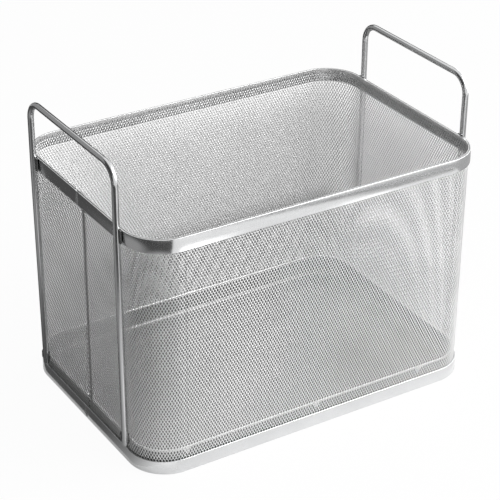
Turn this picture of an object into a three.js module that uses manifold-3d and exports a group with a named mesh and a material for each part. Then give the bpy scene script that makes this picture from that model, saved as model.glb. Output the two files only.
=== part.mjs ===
// Pasta cooking basket. A fine stainless mesh sheet is rolled into a rounded rectangle and lapped,
// a solid pressed pan closes its bottom, flat bars run round its rim and its foot, and a bent wire
// handle is welded to each short side. Millimetres, +Z up, X along the basket, origin at the middle
// of the foot. A plain grid of openings stands in for the mesh's thousands of diamonds.
import * as THREE from 'three';
import { mergeGeometries, mergeVertices } from 'three/addons/utils/BufferGeometryUtils.js';
import Module from 'manifold-3d';

// Driving dimensions
const basketLength = 369.5; // outside the bars
const basketWidth = 250.5; // outside the bars
const basketHeight = 245; // foot to rim
const cornerRadius = 38.5; // outside the bars
const barHeight = 13.8;
const barThickness = 1.5;
const barJointWidth = 3; // room left between the two ends of a bar for its butt weld
const barJointY = 0;
const sheetThickness = 0.8;
const sheetLift = 1; // lower edge of the wall and of the pan above the foot
const lapWidth = 7; // overlap of the two ends of the wall sheet
const lapMiddleY = -8;
const lapJoggle = 3; // length over which one end steps inwards behind the other
const openingSize = 10.5; // square openings in the wall sheet, far fewer than its real diamonds
const openingBridge = 13; // metal left between two openings
const openingMargin = 4; // least metal between the openings and the bars, bends, welds and lap
const panThickness = 1;
const panTop = 24; // top of the pan's upstand above the foot
const panBend = 5; // inside radius between floor and upstand
const wireDiameter = 6;
const legInset = 4.25; // middle of a leg from the end of the short side's straight part
const handleRise = 58.3; // middle of the grip above the rim
const handleBend = 18; // at the middle of the wire
const footClearance = 3.7; // lower end of a leg above the foot bar
const weldToe = 2.2; // how far a fillet spreads along the face behind a leg, past the wire's side
const weldThickness = 1; // round the wire
const weldShoulder = 1.1; // angle round the wire, from the face, where a fillet leaves it, in radians
const rimWeldWrap = 1.3; // angle round the wire that a fillet reaches, in radians
const footWeldWrap = 2.3;
const footWeldLift = 5; // lower end of a foot weld above the end of its leg
const footWeldLength = 10;
const weldCrown = 0.4; // how far a butt weld stands proud of its bar
const tackWidth = 12;
const tackDepth = 7;
const firstTackInset = 3.5; // outer tacks of a long side, from the ends of its straight part
const lastTackInset = 25.5;
const sideTackInset = 41; // tacks of a short side, likewise
const fitGap = 0.3; // left between pieces that touch

// Facets
const cornerSteps = 6;
const wireSteps = 6;
const bendSteps = 6;

// Finishes
const sheetSteel = new THREE.MeshStandardMaterial({ color: 0xb9bbbc, roughness: 0.45, metalness: 1 });
const panSteel = new THREE.MeshStandardMaterial({ color: 0xb4b6b8, roughness: 0.35, metalness: 1 });
const barSteel = new THREE.MeshStandardMaterial({ color: 0xc9cbcc, roughness: 0.22, metalness: 1 });
const wireSteel = new THREE.MeshStandardMaterial({ color: 0xbdbfc0, roughness: 0.28, metalness: 1 });
const weldSteel = new THREE.MeshStandardMaterial({ color: 0x9b9c9c, roughness: 0.5, metalness: 1 });

const wasm = await Module();
wasm.setup();

const basket = new THREE.Group();

function addPiece(parent, name, geometry, material) {
  const piece = new THREE.Mesh(geometry, material);
  piece.name = name;
  parent.add(piece);
  return piece;
}

// A closed geometry as a solid that can be cut, and back again
function solidFrom(geometry) {
  const bare = geometry.clone();
  bare.deleteAttribute('normal');
  bare.deleteAttribute('uv');
  const merged = mergeVertices(bare, 1e-4);
  return new wasm.Manifold(
    new wasm.Mesh({
      numProp: 3,
      vertProperties: Float32Array.from(merged.attributes.position.array),
      triVerts: Uint32Array.from(merged.index.array),
    }),
  );
}

function geometryFrom(solid) {
  const cut = solid.getMesh();
  const geometry = new THREE.BufferGeometry();
  geometry.setAttribute('position', new THREE.BufferAttribute(Float32Array.from(cut.vertProperties), 3));
  geometry.setIndex(new THREE.BufferAttribute(Uint32Array.from(cut.triVerts), 1));
  geometry.computeVertexNormals();
  return geometry;
}

// The four rounded corners of an outline, counter-clockwise from the front left one
function turnOutside(outline, halfLength, halfWidth, radius) {
  const x = halfLength - radius;
  const y = halfWidth - radius;
  outline.absarc(-x, -y, radius, Math.PI, 1.5 * Math.PI, false);
  outline.absarc(x, -y, radius, 1.5 * Math.PI, 2 * Math.PI, false);
  outline.absarc(x, y, radius, 0, 0.5 * Math.PI, false);
  outline.absarc(-x, y, radius, 0.5 * Math.PI, Math.PI, false);
}

// The same corners the other way round, for the inside of a strip
function turnInside(outline, halfLength, halfWidth, radius) {
  const x = halfLength - radius;
  const y = halfWidth - radius;
  outline.absarc(-x, y, radius, Math.PI, 0.5 * Math.PI, true);
  outline.absarc(x, y, radius, 0.5 * Math.PI, 0, true);
  outline.absarc(x, -y, radius, 2 * Math.PI, 1.5 * Math.PI, true);
  outline.absarc(-x, -y, radius, 1.5 * Math.PI, Math.PI, true);
}

function roundedRectangle(halfLength, halfWidth, radius) {
  const outline = new THREE.Shape();
  turnOutside(outline, halfLength, halfWidth, radius);
  return outline;
}

function extrudeUp(outline, height) {
  return new THREE.ExtrudeGeometry(outline, {
    depth: height,
    bevelEnabled: false,
    curveSegments: cornerSteps,
  });
}

// Rim bar and foot bar: a flat strip bent round, its ends butted in the middle of the left side
const barHalfLength = basketLength / 2;
const barHalfWidth = basketWidth / 2;
const rimBottom = basketHeight - barHeight;

function barOutline() {
  const inside = barHalfLength - barThickness;
  const lowEnd = barJointY - barJointWidth / 2;
  const highEnd = barJointY + barJointWidth / 2;
  const outline = new THREE.Shape();
  outline.moveTo(-barHalfLength, lowEnd);
  turnOutside(outline, barHalfLength, barHalfWidth, cornerRadius);
  outline.lineTo(-barHalfLength, highEnd);
  outline.lineTo(-inside, highEnd);
  turnInside(outline, inside, barHalfWidth - barThickness, cornerRadius - barThickness);
  outline.lineTo(-inside, lowEnd);
  outline.closePath();
  return outline;
}

function buttWeldOutline() {
  const halfWidth = barJointWidth / 2 - fitGap;
  const inside = barHalfLength - barThickness;
  const outline = new THREE.Shape();
  outline.moveTo(-inside, barJointY - halfWidth);
  outline.lineTo(-barHalfLength, barJointY - halfWidth);
  outline.quadraticCurveTo(
    -barHalfLength - 2 * weldCrown,
    barJointY,
    -barHalfLength,
    barJointY + halfWidth,
  );
  outline.lineTo(-inside, barJointY + halfWidth);
  outline.closePath();
  return outline;
}

for (const [name, lift] of [['rim', rimBottom], ['foot', 0]]) {
  addPiece(basket, `${name}_bar`, extrudeUp(barOutline(), barHeight), barSteel).position.z = lift;
  const weld = extrudeUp(buttWeldOutline(), barHeight);
  addPiece(basket, `${name}_bar_weld`, weld, weldSteel).position.z = lift;
}

// Wall sheet: it runs once round inside the bars, and its end steps in behind its start
const wallHalfLength = barHalfLength - barThickness - fitGap;
const wallHalfWidth = barHalfWidth - barThickness - fitGap;
const wallRadius = cornerRadius - barThickness - fitGap;
const lapStep = sheetThickness + fitGap;

function wallOutline() {
  const outer = -wallHalfLength;
  const inner = outer + sheetThickness;
  const lapStart = lapMiddleY + lapWidth / 2;
  const lapEnd = lapMiddleY - lapWidth / 2;
  const outline = new THREE.Shape();
  outline.moveTo(outer, lapStart);
  turnOutside(outline, wallHalfLength, wallHalfWidth, wallRadius);
  outline.lineTo(outer, lapStart + lapJoggle);
  outline.lineTo(outer + lapStep, lapStart);
  outline.lineTo(outer + lapStep, lapEnd);
  outline.lineTo(inner + lapStep, lapEnd);
  outline.lineTo(inner + lapStep, lapStart);
  outline.lineTo(inner, lapStart + lapJoggle);
  turnInside(
    outline,
    wallHalfLength - sheetThickness,
    wallHalfWidth - sheetThickness,
    wallRadius - sheetThickness,
  );
  outline.lineTo(inner, lapStart);
  outline.closePath();
  return outline;
}

// The openings stand in rows, in the four straight sides and round the four corners
const straightHalfLength = wallHalfLength - wallRadius;
const straightHalfWidth = wallHalfWidth - wallRadius;
const wallSides = [
  { name: 'front', facing: 0, reach: wallHalfWidth, halfSpan: straightHalfLength },
  { name: 'right', facing: Math.PI / 2, reach: wallHalfLength, halfSpan: straightHalfWidth },
  { name: 'rear', facing: Math.PI, reach: wallHalfWidth, halfSpan: straightHalfLength },
  { name: 'left', facing: -Math.PI / 2, reach: wallHalfLength, halfSpan: straightHalfWidth },
];

// Middles of as many openings as a stretch holds, spread evenly about its own middle
function openingMiddles(low, high) {
  const pitch = openingSize + openingBridge;
  const count = Math.floor((high - low - 2 * openingMargin + openingBridge) / pitch);
  const first = (low + high - (count - 1) * pitch) / 2;
  return Array.from({ length: count }, (unused, index) => first + index * pitch);
}

// One column of cubes that cut the wall, at x, y and turned about the upright
function openingColumn(x, y, turn) {
  const footWeldTop = barHeight + footClearance + footWeldLift + footWeldLength;
  const cubes = openingMiddles(footWeldTop, rimBottom).map((height) =>
    new THREE.BoxGeometry(openingSize, openingSize, openingSize).translate(0, 0, height),
  );
  return mergeGeometries(cubes).rotateZ(turn).translate(x, y, 0);
}

// Each side is drawn as the front, with the corner at its right-hand end, and turned to its place
function sideColumns({ name, facing, reach, halfSpan }) {
  const lapClearance = lapWidth / 2 + lapJoggle + openingMargin + openingSize / 2;
  const clearOfLap = (along) => name !== 'left' || Math.abs(along + lapMiddleY) > lapClearance;
  const straight = openingMiddles(-halfSpan, halfSpan)
    .filter(clearOfLap)
    .map((along) => openingColumn(along, -reach, 0));
  const corner = openingMiddles(0, (wallRadius * Math.PI) / 2).map((along) => {
    const angle = along / wallRadius;
    const x = halfSpan + wallRadius * Math.sin(angle);
    const y = wallRadius - reach - wallRadius * Math.cos(angle);
    return openingColumn(x, y, angle);
  });
  return straight.concat(corner).map((column) => column.rotateZ(facing));
}

const sheetGeometry = extrudeUp(wallOutline(), basketHeight - sheetLift);
sheetGeometry.translate(0, 0, sheetLift);
const wallSolid = wallSides
  .flatMap(sideColumns)
  .reduce((sheet, column) => sheet.subtract(solidFrom(column)), solidFrom(sheetGeometry));
addPiece(basket, 'wall_sheet', geometryFrom(wallSolid), sheetSteel);

// Floor pan: a pressed tray whose upstand stays clear of the lap on the inside of the wall
const panClearance = lapStep + fitGap;
const panHalfLength = wallHalfLength - sheetThickness - panClearance;
const panHalfWidth = wallHalfWidth - sheetThickness - panClearance;
const panRadius = wallRadius - sheetThickness - panClearance;

// A rounded block with a rolled lower edge, taller than the pan
function panBlock(inset, bend) {
  const outline = roundedRectangle(
    panHalfLength - inset - bend,
    panHalfWidth - inset - bend,
    panRadius - inset - bend,
  );
  const geometry = new THREE.ExtrudeGeometry(outline, {
    depth: panTop,
    bevelEnabled: true,
    bevelThickness: bend,
    bevelSize: bend,
    bevelSegments: bendSteps,
    curveSegments: cornerSteps,
  });
  geometry.translate(0, 0, bend + sheetLift + inset);
  return solidFrom(geometry);
}

const abovePan = new THREE.BoxGeometry(basketLength, basketWidth, basketHeight);
abovePan.translate(0, 0, panTop + basketHeight / 2);
const panSolid = panBlock(0, panBend + panThickness)
  .subtract(panBlock(panThickness, panBend))
  .subtract(solidFrom(abovePan));
addPiece(basket, 'floor_pan', geometryFrom(panSolid), panSteel);

// Floor tacks: wedges between the upstand and the wall, wide at the top of the upstand
const tackThickness = panClearance - 2 * fitGap;
const tackOutline = new THREE.Shape();
tackOutline.moveTo(-tackWidth / 2, 0);
tackOutline.lineTo(0, -tackDepth);
tackOutline.lineTo(tackWidth / 2, 0);
tackOutline.closePath();

// Each side's wedge is drawn standing up and facing out, then turned to face its wall
function addTack(name, facing, wallInside, along) {
  const geometry = extrudeUp(tackOutline, tackThickness);
  geometry.rotateX(Math.PI / 2);
  geometry.translate(along, -(wallInside - fitGap - tackThickness), panTop);
  addPiece(basket, name, geometry, weldSteel).rotation.z = facing;
}

const longSideTacks = [firstTackInset - straightHalfLength, 0, straightHalfLength - lastTackInset];
const shortSideTacks = [sideTackInset - straightHalfWidth, straightHalfWidth - sideTackInset];
longSideTacks.forEach((along, index) => {
  const wallInside = wallHalfWidth - sheetThickness;
  addTack(`front_floor_tack_${index + 1}`, 0, wallInside, along);
  addTack(`rear_floor_tack_${index + 1}`, Math.PI, wallInside, along);
});
shortSideTacks.forEach((along, index) => {
  const wallInside = wallHalfLength - sheetThickness;
  addTack(`right_floor_tack_${index + 1}`, Math.PI / 2, wallInside, along);
  addTack(`left_floor_tack_${index + 1}`, -Math.PI / 2, wallInside, along);
});

// Handles: a wire runs up each leg, over the grip and down again. Each leg leans in from the rim
// bar to touch the wall at its lower end.
const wireRadius = wireDiameter / 2;
const legX = barHalfLength + fitGap + wireRadius;
const footX = wallHalfLength + fitGap + wireRadius;
const footZ = barHeight + footClearance;
const gripZ = basketHeight + handleRise;
const legY = straightHalfWidth - legInset;

// A path through given stations, with one step from each to the next
class WirePath extends THREE.Curve {
  constructor(stations) {
    super();
    this.stations = stations;
  }

  getPoint(t, target = new THREE.Vector3()) {
    const place = Math.min(Math.max(t, 0), 1) * (this.stations.length - 1);
    const index = Math.min(Math.floor(place), this.stations.length - 2);
    return target.lerpVectors(this.stations[index], this.stations[index + 1], place - index);
  }

  getUtoTmapping(u) {
    return u;
  }
}

function handleStations() {
  const rising = [new THREE.Vector3(footX, legY, footZ), new THREE.Vector3(legX, legY, rimBottom)];
  for (let step = 0; step <= bendSteps; step += 1) {
    const angle = (step / bendSteps) * (Math.PI / 2);
    const y = legY - handleBend + handleBend * Math.cos(angle);
    const z = gripZ - handleBend + handleBend * Math.sin(angle);
    rising.push(new THREE.Vector3(legX, y, z));
  }
  const falling = rising.map((station) => new THREE.Vector3(station.x, -station.y, station.z));
  return rising.concat(falling.reverse());
}

function handleGeometry() {
  const section = new THREE.Shape();
  section.absarc(0, 0, wireRadius, 0, 2 * Math.PI, false);
  const stations = handleStations();
  return new THREE.ExtrudeGeometry(section, {
    steps: stations.length - 1,
    extrudePath: new WirePath(stations),
    curveSegments: wireSteps,
  });
}

// Fillet weld in the corner between a leg and the flat face behind it. The face is at x = 0, the
// leg's middle at y = 0, and the fillet lies on the +Y or the -Y side. It follows the wire from the
// face to the angle wrap, comes back outside the wire and runs out along the face.
function filletOutline(side, wrap) {
  const innerRadius = wireRadius + fitGap;
  const outerRadius = innerRadius + weldThickness;
  const faceAngle = Math.acos(1 - fitGap / innerRadius);
  const points = [];
  const follow = (radius, from, to) => {
    for (let step = 0; step <= bendSteps; step += 1) {
      const angle = from + (to - from) * (step / bendSteps);
      const x = innerRadius - radius * Math.cos(angle);
      points.push(new THREE.Vector2(x, side * radius * Math.sin(angle)));
    }
  };
  follow(innerRadius, faceAngle, wrap);
  follow(outerRadius, wrap, weldShoulder);
  points.push(new THREE.Vector2(fitGap, side * (wireRadius + weldToe)));
  return new THREE.Shape(points);
}

for (const end of ['left', 'right']) {
  const turned = end === 'left';
  const group = new THREE.Group();
  group.rotation.z = turned ? Math.PI : 0;
  basket.add(group);
  addPiece(group, `${end}_handle`, handleGeometry(), wireSteel);
  for (const leg of [-1, 1]) {
    const place = leg === (turned ? 1 : -1) ? 'front' : 'rear';
    for (const side of [-1, 1]) {
      const name = `${end}_${place}_leg`;
      const number = side === -1 ? 1 : 2;
      const rimWeld = extrudeUp(filletOutline(side, rimWeldWrap), barHeight);
      addPiece(group, `${name}_rim_weld_${number}`, rimWeld, weldSteel)
        .position.set(barHalfLength, leg * legY, rimBottom);
      const footWeld = extrudeUp(filletOutline(side, footWeldWrap), footWeldLength);
      addPiece(group, `${name}_foot_weld_${number}`, footWeld, weldSteel)
        .position.set(wallHalfLength, leg * legY, footZ + footWeldLift);
    }
  }
}

export default basket;
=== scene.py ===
from functools import cache
from math import pi, radians, sin

import bmesh
import bpy
from mathutils import Matrix, Vector


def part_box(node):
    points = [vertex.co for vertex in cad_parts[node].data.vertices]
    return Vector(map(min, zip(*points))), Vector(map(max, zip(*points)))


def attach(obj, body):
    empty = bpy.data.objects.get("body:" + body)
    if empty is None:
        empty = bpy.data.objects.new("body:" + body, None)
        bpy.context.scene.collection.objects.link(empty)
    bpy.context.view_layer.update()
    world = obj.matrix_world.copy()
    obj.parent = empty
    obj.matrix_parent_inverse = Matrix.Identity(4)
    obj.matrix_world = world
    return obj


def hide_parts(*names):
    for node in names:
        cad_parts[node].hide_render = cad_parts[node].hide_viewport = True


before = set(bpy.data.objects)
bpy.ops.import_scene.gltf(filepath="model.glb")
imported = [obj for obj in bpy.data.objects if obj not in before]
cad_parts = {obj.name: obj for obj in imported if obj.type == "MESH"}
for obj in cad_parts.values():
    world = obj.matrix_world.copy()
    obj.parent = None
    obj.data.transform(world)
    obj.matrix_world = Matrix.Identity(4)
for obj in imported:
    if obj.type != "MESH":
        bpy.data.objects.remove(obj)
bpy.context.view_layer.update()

# Wall sheet
# One sheet of fine stainless mesh, slit and drawn open into upright diamonds and rolled into a rectangle
# with rounded corners. A narrow strip along its upper and its lower edge stays plain. On the left side its
# end steps in behind its start, and a near-black strip between the two layers paints the shade in the gap
# of the lap, together with the tint of a seam weld.
wall_low, wall_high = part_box("wall_sheet")
wall_corner = 0.0367
sheet_thickness = 0.0008
diamond_width = 0.00295
diamond_height = 0.0054
row_spacing = diamond_height / 2
columns = 50
rows = 86
strand_width = 0.0007
strand_crown = 0.00025
plain_edge = 0.0016
lap_edge = 0.0045
lap_width = 0.007
lap_joggle = 0.003
lap_step = 0.0011
seam_width = 0.004
seam_steps = 60
merge_distance = diamond_width / 100
sheet_tone = (0.84, 0.84, 0.84)
seam_tint_and_shade_tone = (0.05, 0.05, 0.05)
up = Vector((0, 0, 1))

half_short = wall_high.y - wall_corner
half_long = wall_high.x - wall_corner
corner_run = wall_corner * pi / 2
wall_run = 4 * (half_short + half_long + corner_run)


@cache
def beside_wall(run):
    """The spot this far round the wall's outer face from the middle of its left side, and the way out."""
    left = run % wall_run
    spot = Vector((wall_low.x, 0, 0))
    heading = Vector((0, -1, 0))
    out = Vector((-1, 0, 0))
    for straight in (half_short, 2 * half_long, 2 * half_short, 2 * half_long, half_short):
        ahead = min(left, straight)
        left -= ahead
        round_corner = min(left, corner_run)
        left -= round_corner
        turn = Matrix.Rotation(round_corner / wall_corner, 3, "Z")
        pivot = spot + heading * ahead - out * wall_corner
        heading = turn @ heading
        out = turn @ out
        spot = pivot + out * wall_corner
    return spot, out


def wrap_round(shape):
    """Bends a flat shape round the wall: x runs round its outer face, y goes up and z points out."""
    for vert in shape.verts:
        spot, out = beside_wall(round(vert.co.x, 6))
        vert.co = spot + out * vert.co.z + up * vert.co.y


def repeat(shape, count, step):
    """Sets copies of all that the shape holds in a line, until there are count of them."""
    first = shape.verts[:] + shape.edges[:] + shape.faces[:]
    for place in range(1, count):
        copied = bmesh.ops.duplicate(shape, geom=first)["geom"]
        verts = [part for part in copied if isinstance(part, bmesh.types.BMVert)]
        bmesh.ops.translate(shape, verts=verts, vec=step * place)


def mesh_strip(columns, rows):
    """A flat strip of mesh with its openings still filled and its first diamond's middle at the origin."""
    strip = bmesh.new()
    slit = strip.verts.layers.int.new("slit")
    bmesh.ops.create_circle(strip, cap_ends=True, segments=4, radius=0.5)
    bmesh.ops.scale(strip, verts=strip.verts[:], vec=(diamond_width, diamond_height, 1))
    opening = strip.faces[:]
    bmesh.ops.inset_individual(strip, faces=opening, thickness=strand_width / 2, use_even_offset=True)
    for face in opening:
        face.material_index = 1
        for vert in face.verts:
            vert[slit] = 1
    repeat(strip, columns, Vector((diamond_width, 0, 0)))
    repeat(strip, 2, Vector((diamond_width / 2, row_spacing, 0)))
    repeat(strip, rows // 2, Vector((0, 2 * row_spacing, 0)))
    bmesh.ops.remove_doubles(strip, verts=strip.verts[:], dist=merge_distance)
    return strip


def draw_out_edge(strip, outside, height):
    """Draws the ragged edge past the last row of diamonds out to the sheet's straight edge."""
    ragged = [
        edge for edge in strip.edges
        if edge.is_boundary and all(outside(vert.co.y) for vert in edge.verts)
    ]
    drawn = bmesh.ops.extrude_edge_only(strip, edges=ragged)["geom"]
    for part in drawn:
        if isinstance(part, bmesh.types.BMVert):
            part.co.y = height


def step_in_behind_lap(sheet):
    """Sets the last of the sheet back by a little more than its thickness, to pass behind the start."""
    begin = wall_run + lap_edge - lap_joggle
    for vert in sheet.verts:
        share = min(max((vert.co.x - begin) / lap_joggle, 0), 1)
        vert.co.z -= lap_step * share


map_margin = 0.005
map_width = 0.5 - 2 * map_margin
map_height = 1 - 2 * map_margin


def lay_out_map(sheet, start, length):
    """Unrolls a flat sheet on its map: outer face left, inner face right, strand sides in the gaps."""
    chart = sheet.loops.layers.uv.new("OFBake")
    for face in sheet.faces:
        across = face.normal * (strand_width / 2)
        is_inner = face.normal.z < -0.5
        is_side = abs(face.normal.z) < 0.5
        map_left = map_margin + (0.5 if is_inner else 0)
        for loop in face.loops:
            spot = loop.vert.co
            if is_side and spot.z < -sheet_thickness / 2:
                spot = spot + across
            along = (spot.x - start + diamond_width) / (length + 4 * diamond_width)
            above = spot.y / (wall_high.z + diamond_width)
            loop[chart].uv = (map_left + map_width * along, map_margin + map_height * above)


def crown_strands(sheet):
    """Thins the strands towards their slit sides, on both faces of the sheet."""
    slit = sheet.verts.layers.int["slit"]
    for vert in sheet.verts:
        if vert[slit]:
            vert.co.z += strand_crown if vert.co.z < -sheet_thickness / 2 else -strand_crown


grain_detail = 3
cloud_scale = 28
cloud_detail = 4
cloud_low = 0.3
cloud_high = 0.7
tone_drift = 0.03


def stainless(name, tone, roughness, spread, grain, grain_depth, wave_depth):
    """Stainless steel with slow waves and a fine grain, which runs long where grain has a small number."""
    finish = bpy.data.materials.new(name)
    finish.use_nodes = True
    nodes = finish.node_tree.nodes
    links = finish.node_tree.links
    shader = nodes["Principled BSDF"]
    shader.inputs["Metallic"].default_value = 1
    place = nodes.new("ShaderNodeTexCoord")
    stretch = nodes.new("ShaderNodeMapping")
    stretch.inputs["Scale"].default_value = grain
    links.new(place.outputs["Object"], stretch.inputs["Vector"])
    lines = nodes.new("ShaderNodeTexNoise")
    lines.inputs["Scale"].default_value = 1
    lines.inputs["Detail"].default_value = grain_detail
    links.new(stretch.outputs["Vector"], lines.inputs["Vector"])
    clouds = nodes.new("ShaderNodeTexNoise")
    clouds.inputs["Scale"].default_value = cloud_scale
    clouds.inputs["Detail"].default_value = cloud_detail
    links.new(place.outputs["Object"], clouds.inputs["Vector"])
    colour = nodes.new("ShaderNodeValToRGB")
    colour.color_ramp.elements[0].position = cloud_low
    colour.color_ramp.elements[0].color = (*[(1 - tone_drift) * part for part in tone], 1)
    colour.color_ramp.elements[1].position = cloud_high
    colour.color_ramp.elements[1].color = (*[(1 + tone_drift) * part for part in tone], 1)
    links.new(clouds.outputs["Fac"], colour.inputs["Fac"])
    links.new(colour.outputs["Color"], shader.inputs["Base Color"])
    both = nodes.new("ShaderNodeMath")
    both.operation = "ADD"
    links.new(lines.outputs["Fac"], both.inputs[0])
    links.new(clouds.outputs["Fac"], both.inputs[1])
    dull = nodes.new("ShaderNodeMapRange")
    dull.inputs["From Min"].default_value = 2 * cloud_low
    dull.inputs["From Max"].default_value = 2 * cloud_high
    dull.inputs["To Min"].default_value = roughness - spread
    dull.inputs["To Max"].default_value = roughness + spread
    links.new(both.outputs["Value"], dull.inputs["Value"])
    links.new(dull.outputs["Result"], shader.inputs["Roughness"])
    waves = nodes.new("ShaderNodeBump")
    waves.inputs["Strength"].default_value = 1
    waves.inputs["Distance"].default_value = wave_depth
    links.new(clouds.outputs["Fac"], waves.inputs["Height"])
    scratches = nodes.new("ShaderNodeBump")
    scratches.inputs["Strength"].default_value = 1
    scratches.inputs["Distance"].default_value = grain_depth
    links.new(lines.outputs["Fac"], scratches.inputs["Height"])
    links.new(waves.outputs["Normal"], scratches.inputs["Normal"])
    links.new(scratches.outputs["Normal"], shader.inputs["Normal"])
    return finish


fold_angle = radians(40)
strand_fold_angle = radians(80)


def add_piece(name, shape, finish, slot, *nodes):
    """Makes a finished shape a piece of the basket, in place of the nodes that it stands for."""
    mesh = bpy.data.meshes.new(name)
    shape.to_mesh(mesh)
    shape.free()
    mesh.shade_smooth()
    mesh.set_sharp_from_angle(angle=fold_angle)
    mesh.materials.append(finish)
    piece = bpy.data.objects.new(name, mesh)
    bpy.context.scene.collection.objects.link(piece)
    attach(piece, "root")
    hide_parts(*nodes)
    return piece


sheet_steel = stainless(
    "mesh_steel", sheet_tone, roughness=0.4, spread=0.06,
    grain=(60, 60, 60), grain_depth=0.00001, wave_depth=0.0001,
)
wall_parts = (
    "left_front", "front_left", "front_right", "right_front",
    "right_rear", "rear_right", "rear_left", "left_rear",
)
top_row = wall_high.z - plain_edge - row_spacing
bottom_row = top_row - (rows - 1) * row_spacing
part_run = columns * diamond_width

strip = mesh_strip(columns, rows)
bmesh.ops.translate(strip, verts=strip.verts[:], vec=(0, bottom_row, 0))
draw_out_edge(strip, lambda height: height > top_row - merge_distance, wall_high.z)
draw_out_edge(strip, lambda height: height < bottom_row + merge_distance, wall_low.z)
openings = [face for face in strip.faces if face.material_index == 1]
bmesh.ops.delete(strip, geom=openings, context="FACES")
for index, part_name in enumerate(wall_parts):
    sheet = strip.copy()
    part_start = lap_edge - diamond_width + index * part_run
    bmesh.ops.translate(sheet, verts=sheet.verts[:], vec=(part_start, 0, 0))
    for edge_run, beyond in ((lap_edge, -1), (wall_run + lap_edge + lap_width, 1)):
        whole = sheet.verts[:] + sheet.edges[:] + sheet.faces[:]
        bmesh.ops.bisect_plane(
            sheet, geom=whole, plane_co=(edge_run, 0, 0), plane_no=(beyond, 0, 0), clear_outer=True,
        )
    bmesh.ops.solidify(sheet, geom=sheet.faces[:], thickness=sheet_thickness)
    lay_out_map(sheet, part_start, part_run)
    crown_strands(sheet)
    step_in_behind_lap(sheet)
    wrap_round(sheet)
    part = add_piece(f"wall_{part_name}", sheet, sheet_steel, "mesh_sheet", "wall_sheet")
    part.data.set_sharp_from_angle(angle=strand_fold_angle)
strip.free()

# the seam strip is near black: painted shade of the gap between the lap's two layers, with a weld's tint
seam = bmesh.new()
bmesh.ops.create_grid(seam, x_segments=1, y_segments=seam_steps, size=0.5)
bmesh.ops.scale(seam, verts=seam.verts[:], vec=(seam_width, wall_high.z - wall_low.z, 1))
seam_middle = (lap_edge + lap_width / 2, (wall_low.z + wall_high.z) / 2, -sheet_thickness)
bmesh.ops.translate(seam, verts=seam.verts[:], vec=seam_middle)
bmesh.ops.solidify(seam, geom=seam.faces[:], thickness=lap_step - sheet_thickness)
wrap_round(seam)
seam_steel = stainless(
    "tinted_and_shaded_seam_steel", seam_tint_and_shade_tone, roughness=0.4, spread=0.1,
    grain=(60, 60, 400), grain_depth=0.00003, wave_depth=0.0002,
)
add_piece("wall_lap_seam", seam, seam_steel, "mesh_sheet", "wall_sheet")

# Floor pan
# A solid stainless sheet pressed into a shallow tray, with a rounded bend all round and an upstand
# that stands inside the wall sheet. It has a satin face, painted dark as shade at the bottom of the
# basket, and the upstand ends in a folded hem that is painted pale as a highlight along its top edge.
pan_low, pan_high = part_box("floor_pan")
pan_bend = 0.006
pan_thickness = 0.001
bend_steps = 6
hem_height = 0.0022
hem_thickness = 0.0014
round_steps = 400
corner_angle = radians(50)
# painted shade: the pan's steel is darkened as it lies in shade at the bottom of the basket
pan_shade_tone = (0.2, 0.2, 0.2)
# painted highlight: the hem is paler than the pan, for the light caught along the upstand's top edge
hem_highlight_tone = (0.9, 0.9, 0.9)


def round_strip(low, high, out):
    """A flat strip between two heights, as long as the wall is round and this far out from it."""
    flat = bmesh.new()
    bmesh.ops.create_grid(flat, x_segments=round_steps, y_segments=1, size=0.5)
    bmesh.ops.translate(flat, verts=flat.verts[:], vec=(0.5, 0.5, 0))
    bmesh.ops.scale(flat, verts=flat.verts[:], vec=(wall_run, high - low, 1))
    bmesh.ops.translate(flat, verts=flat.verts[:], vec=(0, low, out))
    return flat


def wrap_right_round(strip):
    """Bends a strip right round the wall and joins its two ends."""
    wrap_round(strip)
    bmesh.ops.remove_doubles(strip, verts=strip.verts[:], dist=merge_distance)


def round_off(shape, width, steps):
    """Rounds every sharp edge of a shape."""
    sharp = [edge for edge in shape.edges if edge.is_manifold and edge.calc_face_angle() > corner_angle]
    bmesh.ops.bevel(
        shape, geom=sharp, offset=width, offset_type="OFFSET", segments=steps, profile=0.5,
        affect="EDGES", material=-1, clamp_overlap=True,
    )


pan = round_strip(pan_low.z, pan_high.z - hem_height, pan_high.x - wall_high.x)
wrap_right_round(pan)
floor_level = pan_low.z + merge_distance
floor_edges = [edge for edge in pan.edges if all(vert.co.z < floor_level for vert in edge.verts)]
bmesh.ops.contextual_create(pan, geom=floor_edges)
bmesh.ops.recalc_face_normals(pan, faces=pan.faces[:])
bmesh.ops.bevel(
    pan, geom=floor_edges, offset=pan_bend, offset_type="OFFSET", segments=bend_steps, profile=0.5,
    affect="EDGES", material=-1,
)
floor_face = [max(pan.faces, key=lambda face: face.calc_area())]
bmesh.ops.inset_region(pan, faces=floor_face, thickness=pan_bend / 2, use_even_offset=True)
bmesh.ops.solidify(pan, geom=pan.faces[:], thickness=pan_thickness)
round_off(pan, width=pan_thickness / 4, steps=2)
pan_steel = stainless(
    "pressed_floor_steel", pan_shade_tone, roughness=0.32, spread=0.06,
    grain=(8, 900, 900), grain_depth=0.000004, wave_depth=0.0004,
)
add_piece("floor_pan_pressed", pan, pan_steel, "floor_sheet", "floor_pan")

hem = round_strip(pan_high.z - hem_height, pan_high.z, pan_high.x - wall_high.x)
wrap_right_round(hem)
bmesh.ops.recalc_face_normals(hem, faces=hem.faces[:])
bmesh.ops.solidify(hem, geom=hem.faces[:], thickness=hem_thickness)
round_off(hem, width=hem_thickness / 3, steps=3)
hem_steel = stainless(
    "folded_hem_steel", hem_highlight_tone, roughness=0.25, spread=0.06,
    grain=(60, 60, 900), grain_depth=0.000004, wave_depth=0.0001,
)
add_piece("floor_pan_hem", hem, hem_steel, "floor_sheet", "floor_pan")

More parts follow.
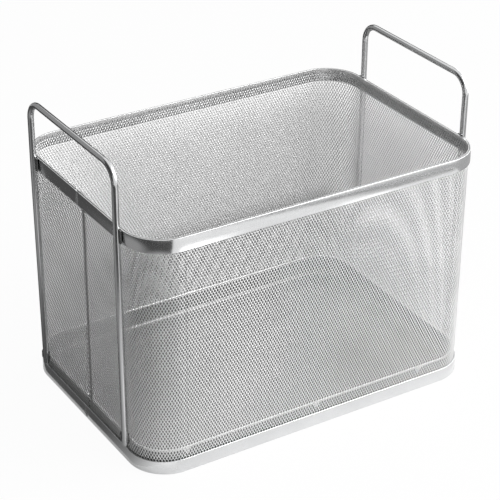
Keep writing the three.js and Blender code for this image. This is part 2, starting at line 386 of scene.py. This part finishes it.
# Rim bar and foot bar
# A flat stainless bar bent round the wall sheet at its upper edge and another at its foot, polished,
# with its edges broken. The ends meet in the middle of the left side.
bar_thickness = 0.0015
bar_joint = 0.003
bar_edge = 0.0003
bar_tone = (0.76, 0.765, 0.77)
bar_steel = stainless(
    "polished_bar_steel", bar_tone, roughness=0.17, spread=0.05,
    grain=(6, 6, 1500), grain_depth=0.000002, wave_depth=0.00006,
)
squeeze = (wall_run - bar_joint) / wall_run
for place in ("rim", "foot"):
    bar_low, bar_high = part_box(f"{place}_bar")
    bar = round_strip(bar_low.z, bar_high.z, bar_high.x - wall_high.x)
    bmesh.ops.scale(bar, verts=bar.verts[:], vec=(squeeze, 1, 1))
    bmesh.ops.translate(bar, verts=bar.verts[:], vec=(bar_joint / 2, 0, 0))
    bmesh.ops.solidify(bar, geom=bar.faces[:], thickness=bar_thickness)
    round_off(bar, width=bar_edge, steps=3)
    wrap_round(bar)
    add_piece(f"{place}_bar_polished", bar, bar_steel, "flat_bar", f"{place}_bar")

# Handles
# A round stainless wire bent to an upside-down U on each short side. Its legs stand against the rim
# bar and lean in to the wall sheet, and their lower ends are rounded.
rim_low, rim_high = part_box("rim_bar")
lean = rim_high.x - wall_high.x
wire_radius = 0.003
wire_end_round = 0.7 * wire_radius
wire_sides = 24
handle_bend = 0.018
handle_bend_steps = 12
wire_tone = (0.66, 0.665, 0.67)
side_turns = {"left": -pi / 2, "right": pi / 2, "front": 0, "rear": pi}
wire_steel = stainless(
    "drawn_wire_steel", wire_tone, roughness=0.17, spread=0.05,
    grain=(700, 700, 30), grain_depth=0.000003, wave_depth=0.00003,
)


def draw_on(shape, end, step):
    """Pulls the end face of a shape along by a step."""
    end = bmesh.ops.extrude_discrete_faces(shape, faces=[end])["faces"][0]
    bmesh.ops.translate(shape, verts=end.verts[:], vec=step)
    return end


def bend_on(shape, end, pivot, angle):
    """Carries the end face of a shape on round a bend whose axis runs in from the front."""
    turned = bmesh.ops.spin(
        shape, geom=[end, *end.edges, *end.verts], cent=pivot, axis=(0, 1, 0), angle=angle,
        steps=handle_bend_steps, use_duplicate=False,
    )["geom_last"]
    return next(part for part in turned if isinstance(part, bmesh.types.BMFace))


def face_side(shape, side):
    """Turns a shape that was drawn on the front to face another side."""
    to_side = Matrix.Rotation(side_turns[side], 3, "Z")
    bmesh.ops.rotate(shape, verts=shape.verts[:], cent=(0, 0, 0), matrix=to_side)


for side in ("left", "right"):
    handle_low, handle_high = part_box(f"{side}_handle")
    reach = max(handle_high.x, -handle_low.x) - wire_radius
    leg = handle_high.y - wire_radius
    bend_height = handle_high.z - wire_radius - handle_bend
    wire = bmesh.new()
    foot = Matrix.Translation((-leg, lean - reach, handle_low.z))
    bmesh.ops.create_circle(wire, cap_ends=True, segments=wire_sides, radius=wire_radius, matrix=foot)
    wire.faces.ensure_lookup_table()
    end = wire.faces[0]
    end = draw_on(wire, end, (0, -lean, rim_low.z - handle_low.z))
    end = draw_on(wire, end, (0, 0, bend_height - rim_low.z))
    end = bend_on(wire, end, (handle_bend - leg, -reach, bend_height), pi / 2)
    end = draw_on(wire, end, (2 * (leg - handle_bend), 0, 0))
    end = bend_on(wire, end, (leg - handle_bend, -reach, bend_height), pi / 2)
    end = draw_on(wire, end, (0, 0, rim_low.z - bend_height))
    draw_on(wire, end, (0, lean, handle_low.z - rim_low.z))
    bmesh.ops.holes_fill(wire, edges=[edge for edge in wire.edges if edge.is_boundary])
    bmesh.ops.recalc_face_normals(wire, faces=wire.faces[:])
    round_off(wire, width=wire_end_round, steps=4)
    face_side(wire, side)
    add_piece(f"{side}_handle_wire", wire, wire_steel, "handle_wire", f"{side}_handle")

# Welds
# Beads of weld metal: across the butted ends of each bar, down both sides of each leg at the rim and
# near its foot, and puddles that tack the pan's upstand to the wall. The bar ends are polished over, the
# leg beads are painted dark as shade in the crevices beside the legs, and the tacks are brushed clean.
butt_width = 1.3 * bar_joint
bead_sides = 12
bead_tip = 0.25
bead_fullness = 6
ripple_length = 0.0011
ripple_depth = 0.07
rings_per_ripple = 4
ground_bulk = 0.45
# painted shade: the leg beads are darkened for the shade in the crevices beside the legs
bead_shade_tone = (0.22, 0.22, 0.22)
weld_tone = (0.8, 0.8, 0.8)
bead_steel = stainless(
    "shaded_bead_steel", bead_shade_tone, roughness=0.2, spread=0.06,
    grain=(900, 900, 900), grain_depth=0.00003, wave_depth=0.0001,
)
weld_steel = stainless(
    "cleaned_weld_steel", weld_tone, roughness=0.2, spread=0.06,
    grain=(900, 900, 900), grain_depth=0.00003, wave_depth=0.0001,
)


def weld_bead(width, depth, length):
    """An upright bead, its lower end at the origin, with a ripple for each dip of the rod."""
    bead = bmesh.new()
    ripples = round(length / ripple_length)
    rings = rings_per_ripple * ripples
    bmesh.ops.create_circle(bead, cap_ends=True, segments=bead_sides, radius=0.5)
    bead.faces.ensure_lookup_table()
    end = bead.faces[0]
    for _ in range(rings):
        end = draw_on(bead, end, (0, 0, length / rings))
    for vert in bead.verts:
        share = min(vert.co.z / length, 1)
        taper = (1 - abs(2 * share - 1) ** bead_fullness) ** 0.5
        ripple = 1 + ripple_depth * sin(2 * pi * ripples * share)
        swell = (bead_tip + (1 - bead_tip) * taper) * ripple
        vert.co.x *= width * swell
        vert.co.y *= depth * swell
    bmesh.ops.holes_fill(bead, edges=[edge for edge in bead.edges if edge.is_boundary])
    bmesh.ops.recalc_face_normals(bead, faces=bead.faces[:])
    return bead


for place in ("rim", "foot"):
    weld_low, weld_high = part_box(f"{place}_bar_weld")
    weld_middle = (weld_low + weld_high) / 2
    butt = weld_bead(weld_high.x - weld_low.x, butt_width, weld_high.z - weld_low.z)
    bmesh.ops.translate(butt, verts=butt.verts[:], vec=(weld_middle.x, weld_middle.y, weld_low.z))
    add_piece(f"{place}_bar_seam", butt, bar_steel, "weld_metal", f"{place}_bar_weld")

sides_out = {"left": -1, "right": 1}
leg_places = {"front": -leg, "rear": leg}
for side, side_out in sides_out.items():
    for leg_place, leg_middle in leg_places.items():
        for height in ("rim", "foot"):
            for number in (1, 2):
                node = f"{side}_{leg_place}_leg_{height}_weld_{number}"
                weld_low, weld_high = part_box(node)
                weld_middle = (weld_low + weld_high) / 2
                # at the foot, the bead on the front of each leg is ground down to a thin line
                ground = height == "foot" and weld_middle.y < leg_middle
                bulk = ground_bulk if ground else 1
                bead_wide = bulk * (weld_high.x - weld_low.x)
                bead_deep = bulk * (weld_high.y - weld_low.y)
                bead = weld_bead(bead_wide, bead_deep, weld_high.z - weld_low.z)
                inner = weld_high.x if side == "left" else weld_low.x
                spot = Vector((inner + side_out * bead_wide / 2, weld_middle.y, weld_low.z))
                if ground:
                    spot.y = weld_high.y - bead_deep / 2
                bmesh.ops.translate(bead, verts=bead.verts[:], vec=spot)
                add_piece(f"{node}_bead", bead, bead_steel, "weld_metal", node)

tack_counts = {"front": 3, "rear": 3, "left": 2, "right": 2}
tack_sides = 16
tack_point = 0.12
tack_sink = 0.0006
tack_edge = 0.0004
for side, count in tack_counts.items():
    for number in range(1, count + 1):
        node = f"{side}_floor_tack_{number}"
        tack_low, tack_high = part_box(node)
        tack_size = tack_high - tack_low
        tack_width = max(tack_size.x, tack_size.y)
        tack_depth = min(tack_size.x, tack_size.y) + tack_sink
        tack = bmesh.new()
        bmesh.ops.create_circle(tack, cap_ends=True, segments=tack_sides, radius=0.5)
        tack.faces.ensure_lookup_table()
        draw_on(tack, tack.faces[0], (0, 0, 1))
        for vert in tack.verts:
            vert.co.x *= tack_width * (tack_point + (1 - tack_point) * vert.co.z)
            vert.co.y *= tack_depth
            vert.co.z *= tack_size.z
        bmesh.ops.holes_fill(tack, edges=[edge for edge in tack.edges if edge.is_boundary])
        bmesh.ops.recalc_face_normals(tack, faces=tack.faces[:])
        round_off(tack, width=tack_edge, steps=3)
        face_side(tack, side)
        tack_middle = (tack_low + tack_high) / 2
        bmesh.ops.translate(tack, verts=tack.verts[:], vec=(tack_middle.x, tack_middle.y, tack_low.z))
        add_piece(f"{node}_puddle", tack, weld_steel, "weld_metal", node)

# Studio
# A white floor under white surroundings, a soft lamp, soft painted shadows shaped as if cast by another
# lamp beside the camera, and cards that stand or lie out of sight, so that the polished steel has dark
# and light fields to reflect.
scene = bpy.context.scene
scene.view_settings.view_transform = "Standard"
floor_radius = 5
floor_sides = 64
floor_drop = 0.0004
floor_tone = 0.85


def blend_by_ray(nodes, links, camera_share, mirror_share, other_share):
    """One share for what is seen straight, one for mirrors and glass, and one for all other light."""
    path = nodes.new("ShaderNodeLightPath")
    mirrored = nodes.new("ShaderNodeMath")
    mirrored.operation = "MAXIMUM"
    links.new(path.outputs["Is Glossy Ray"], mirrored.inputs[0])
    links.new(path.outputs["Is Transmission Ray"], mirrored.inputs[1])
    in_mirror = nodes.new("ShaderNodeMapRange")
    in_mirror.inputs["To Min"].default_value = other_share
    in_mirror.inputs["To Max"].default_value = mirror_share
    links.new(mirrored.outputs["Value"], in_mirror.inputs["Value"])
    straight = nodes.new("ShaderNodeMapRange")
    straight.inputs["To Max"].default_value = camera_share
    links.new(path.outputs["Is Camera Ray"], straight.inputs["Value"])
    links.new(in_mirror.outputs["Result"], straight.inputs["To Min"])
    return straight.outputs["Result"]


surroundings = bpy.data.worlds.new("white_surroundings")
scene.world = surroundings
surroundings.use_nodes = True
nodes = surroundings.node_tree.nodes
links = surroundings.node_tree.links
fill = nodes["Background"]
fill.inputs["Color"].default_value = (1, 1, 1, 1)
share = blend_by_ray(nodes, links, camera_share=1, mirror_share=1, other_share=0.35)
links.new(share, fill.inputs["Strength"])

paper = bpy.data.materials.new("white_floor_paper")
paper.use_nodes = True
nodes = paper.node_tree.nodes
links = paper.node_tree.links
matt = nodes["Principled BSDF"]
matt.inputs["Base Color"].default_value = (floor_tone, floor_tone, floor_tone, 1)
matt.inputs["Roughness"].default_value = 1
matt.inputs["Specular IOR Level"].default_value = 0
glow = nodes.new("ShaderNodeEmission")
mix = nodes.new("ShaderNodeMixShader")
share = blend_by_ray(nodes, links, camera_share=0.96, mirror_share=0.3, other_share=0)
links.new(share, mix.inputs["Fac"])
links.new(matt.outputs["BSDF"], mix.inputs[1])
links.new(glow.outputs["Emission"], mix.inputs[2])
links.new(mix.outputs["Shader"], nodes["Material Output"].inputs["Surface"])


def card_paper(name, tone, pools):
    """Paper that glows with an even tone, with round pools of more or less painted light on it."""
    finish = bpy.data.materials.new(name)
    finish.use_nodes = True
    nodes = finish.node_tree.nodes
    links = finish.node_tree.links
    nodes.remove(nodes["Principled BSDF"])
    place = nodes.new("ShaderNodeTexCoord")
    total = nodes.new("ShaderNodeValue")
    total.outputs["Value"].default_value = tone
    for middle, inner, outer, light in pools:
        apart = nodes.new("ShaderNodeVectorMath")
        apart.operation = "DISTANCE"
        apart.inputs[1].default_value = (*middle, 0)
        links.new(place.outputs["Object"], apart.inputs[0])
        pool = nodes.new("ShaderNodeMapRange")
        pool.interpolation_type = "SMOOTHSTEP"
        pool.inputs["From Min"].default_value = inner
        pool.inputs["From Max"].default_value = outer
        pool.inputs["To Min"].default_value = light
        pool.inputs["To Max"].default_value = 0
        links.new(apart.outputs["Value"], pool.inputs["Value"])
        both = nodes.new("ShaderNodeMath")
        links.new(total.outputs["Value"], both.inputs[0])
        links.new(pool.outputs["Result"], both.inputs[1])
        total = both
    glow = nodes.new("ShaderNodeEmission")
    links.new(total.outputs["Value"], glow.inputs["Strength"])
    links.new(glow.outputs["Emission"], nodes["Material Output"].inputs["Surface"])
    return finish


def add_stage(name, shape, finish):
    """Puts a shape in the studio that isn't part of the basket."""
    mesh = bpy.data.meshes.new(name)
    shape.to_mesh(mesh)
    shape.free()
    mesh.materials.append(finish)
    item = bpy.data.objects.new(name, mesh)
    scene.collection.objects.link(item)
    return item


floor = bmesh.new()
bmesh.ops.create_circle(floor, cap_ends=True, segments=floor_sides, radius=floor_radius)
bmesh.ops.translate(floor, verts=floor.verts[:], vec=(0, 0, -floor_drop))
add_stage("floor", floor, paper)

camera_position = Vector((-0.78768, -1.25835, 0.95035))
shadow_margin = 0.015
# each shadow: how high up the basket it comes from, the width of its soft edge, its tone and its height
shadows = {
    "wide_shadow": (rim_high.z, 0.12, 0.66, 0),
    "contact_shadow": (0.12, 0.07, 0.13, 0.0002),
}


def shadow_of(spot):
    """Where the painted shadow of a spot falls on the floor, as if cast by a lamp beside the camera."""
    return camera_position.lerp(spot, camera_position.z / (camera_position.z - spot.z))


def shadow_paper(name, tone):
    """Painted shadow of an even tone, clear at its edge, that closes up as its depth attribute grows."""
    finish = bpy.data.materials.new(name)
    finish.use_nodes = True
    nodes = finish.node_tree.nodes
    links = finish.node_tree.links
    nodes.remove(nodes["Principled BSDF"])
    depth = nodes.new("ShaderNodeAttribute")
    depth.attribute_name = "depth"
    close = nodes.new("ShaderNodeMapRange")
    close.interpolation_type = "SMOOTHSTEP"
    links.new(depth.outputs["Fac"], close.inputs["Value"])
    clear = nodes.new("ShaderNodeBsdfTransparent")
    glow = nodes.new("ShaderNodeEmission")
    glow.inputs["Strength"].default_value = tone
    mix = nodes.new("ShaderNodeMixShader")
    links.new(close.outputs["Result"], mix.inputs["Fac"])
    links.new(clear.outputs["BSDF"], mix.inputs[1])
    links.new(glow.outputs["Emission"], mix.inputs[2])
    links.new(mix.outputs["Shader"], nodes["Material Output"].inputs["Surface"])
    return finish


# the shadows are painted: glowing paper laid on the floor, darkest where its depth attribute is 1
for shadow_name, (height, fade, tone, lift) in shadows.items():
    shadow = bmesh.new()
    depth = shadow.verts.layers.float.new("depth")
    # the corners that bound the shadow: two at the foot in front, one at the foot behind, three above
    for x, y, z in (
        (rim_low.x, rim_low.y, 0),
        (rim_high.x, rim_low.y, 0),
        (rim_high.x, rim_low.y, height),
        (rim_high.x, rim_high.y, height),
        (rim_low.x, rim_high.y, height),
        (rim_low.x, rim_high.y, 0),
    ):
        bmesh.ops.create_vert(shadow, co=shadow_of(Vector((x, y, z))))
    middle = bmesh.ops.contextual_create(shadow, geom=shadow.verts[:])["faces"]
    outside = bmesh.ops.inset_region(
        shadow, faces=middle, thickness=shadow_margin, use_boundary=True, use_even_offset=True,
    )["faces"]
    bmesh.ops.delete(shadow, geom=outside, context="FACES")
    bmesh.ops.inset_region(shadow, faces=middle, thickness=fade, use_boundary=True, use_even_offset=True)
    for vert in middle[0].verts:
        vert[depth] = 1
    bmesh.ops.translate(shadow, verts=shadow.verts[:], vec=(0, 0, lift))
    item = add_stage(shadow_name, shadow, shadow_paper(f"{shadow_name}_paper", tone))
    item.visible_diffuse = False
    item.visible_shadow = False

# each pool: its middle, its inner and outer radius, and the light that it adds or, below zero, takes away
left_pool = ((-0.56, 0.05), 0.12, 0.4, 0.24)
near_pool = ((-0.24, -0.22), 0.04, 0.22, 0.6)
corner_pool = ((-0.14, -0.16), 0.03, 0.1, 0.5)
front_right_pool = ((0.29, -0.5), 0, 0.09, 0.5)
front_pools = (
    ((-0.045, -0.21), 0, 0.07, 0.4),
    ((-0.02, -0.285), 0, 0.07, 1.6),
    ((0.01, -0.355), 0, 0.07, 2.2),
    ((0.06, -0.415), 0, 0.06, 0.6),
    ((0.06, -0.22), 0, 0.07, -0.85),
    ((0.11, -0.29), 0, 0.06, -0.85),
    ((0.18, -0.22), 0, 0.06, 1.9),
    ((0.225, -0.295), 0, 0.06, 1.9),
    ((0.26, -0.36), 0, 0.055, 0.9),
)
# each card: its lowest corner, its highest corner, its tone and the pools of light on it
cards = {
    "left_card": ((-1.6, -0.13, 0), (-0.187, 1.4, 0), 0.08, (left_pool, near_pool, corner_pool)),
    "front_left_card": ((-1.6, -1.2, 0), (-0.155, -0.13, 0), 0.07, (left_pool, near_pool, corner_pool)),
    "front_card": ((-0.155, -0.46, 0), (0.29, -0.16, 0), 0.95, front_pools),
    "front_right_card": ((0.29, -1, 0), (0.383, -0.4, 0), 0.3, (front_right_pool,)),
    "front_right_strip": ((0.4, -1, 0), (0.436, -0.4, 0), 0.2, ()),
    "right_card": ((0.455, -0.8, 0), (1.2, 0.3, 0), 0.45, ()),
    "front_standing_card": ((-2.2, -2, 0), (1, -2, 1.8), 0.9, ()),
    "left_ceiling_card": ((-2.2, -2, 1.8), (-0.6, 1.6, 1.8), 0.1, ()),
    "left_standing_card": ((-2.2, -2, 0), (-2.2, 1.6, 1.8), 0.06, ()),
    "rear_card": ((-0.187, 0.13, 0), (0.2, 1.2, 0), 0.1, ()),
    "right_near_card": ((0.21, -0.1, 0), (0.455, 0.5, 0), 0.15, ()),
    "right_standing_card": ((1.3, -0.6, 0), (1.3, 1, 0.5), 3, ()),
    "rear_standing_card": ((-2.2, 1.6, 0), (0, 1.6, 1.8), 0.35, ()),
    "rear_right_card": ((0, 1.6, 0), (2, 1.6, 1.15), 0.06, ()),
}
for card_name, (low, high, tone, pools) in cards.items():
    low, high = Vector(low), Vector(high)
    card = bmesh.new()
    bmesh.ops.create_grid(card, x_segments=1, y_segments=1, size=0.5)
    if high.y == low.y:
        bmesh.ops.rotate(card, verts=card.verts[:], matrix=Matrix.Rotation(pi / 2, 3, "X"))
    if high.x == low.x:
        bmesh.ops.rotate(card, verts=card.verts[:], matrix=Matrix.Rotation(pi / 2, 3, "Y"))
    bmesh.ops.scale(card, verts=card.verts[:], vec=high - low)
    bmesh.ops.translate(card, verts=card.verts[:], vec=(low + high) / 2)
    item = add_stage(card_name, card, card_paper(f"{card_name}_paper", tone, pools))
    item.visible_camera = False
    item.visible_diffuse = False
    item.visible_shadow = False

lamp_position = Vector((1.5, -1.3, 1.6))
lamp_size = 2.2
lamp_power = 70
light = bpy.data.lights.new("front_right_lamp", "AREA")
light.size = lamp_size
light.energy = lamp_power
lamp = bpy.data.objects.new("front_right_lamp", light)
lamp.location = lamp_position
lamp.rotation_euler = (-lamp_position).to_track_quat("-Z", "Y").to_euler()
scene.collection.objects.link(lamp)

camera_lens = 124.77
camera_film = 36
camera_yaw = 0.5591
camera_pitch = 0.5038
camera_roll = 0.0084
camera_data = bpy.data.cameras.new("photo_camera")
camera_data.lens = camera_lens
camera_data.sensor_width = camera_film
camera = bpy.data.objects.new("photo_camera", camera_data)
turn = Matrix.Rotation(-camera_yaw, 4, "Z") @ Matrix.Rotation(pi / 2 - camera_pitch, 4, "X")
camera.matrix_world = Matrix.Translation(camera_position) @ turn @ Matrix.Rotation(camera_roll, 4, "Z")
scene.collection.objects.link(camera)
scene.camera = camera
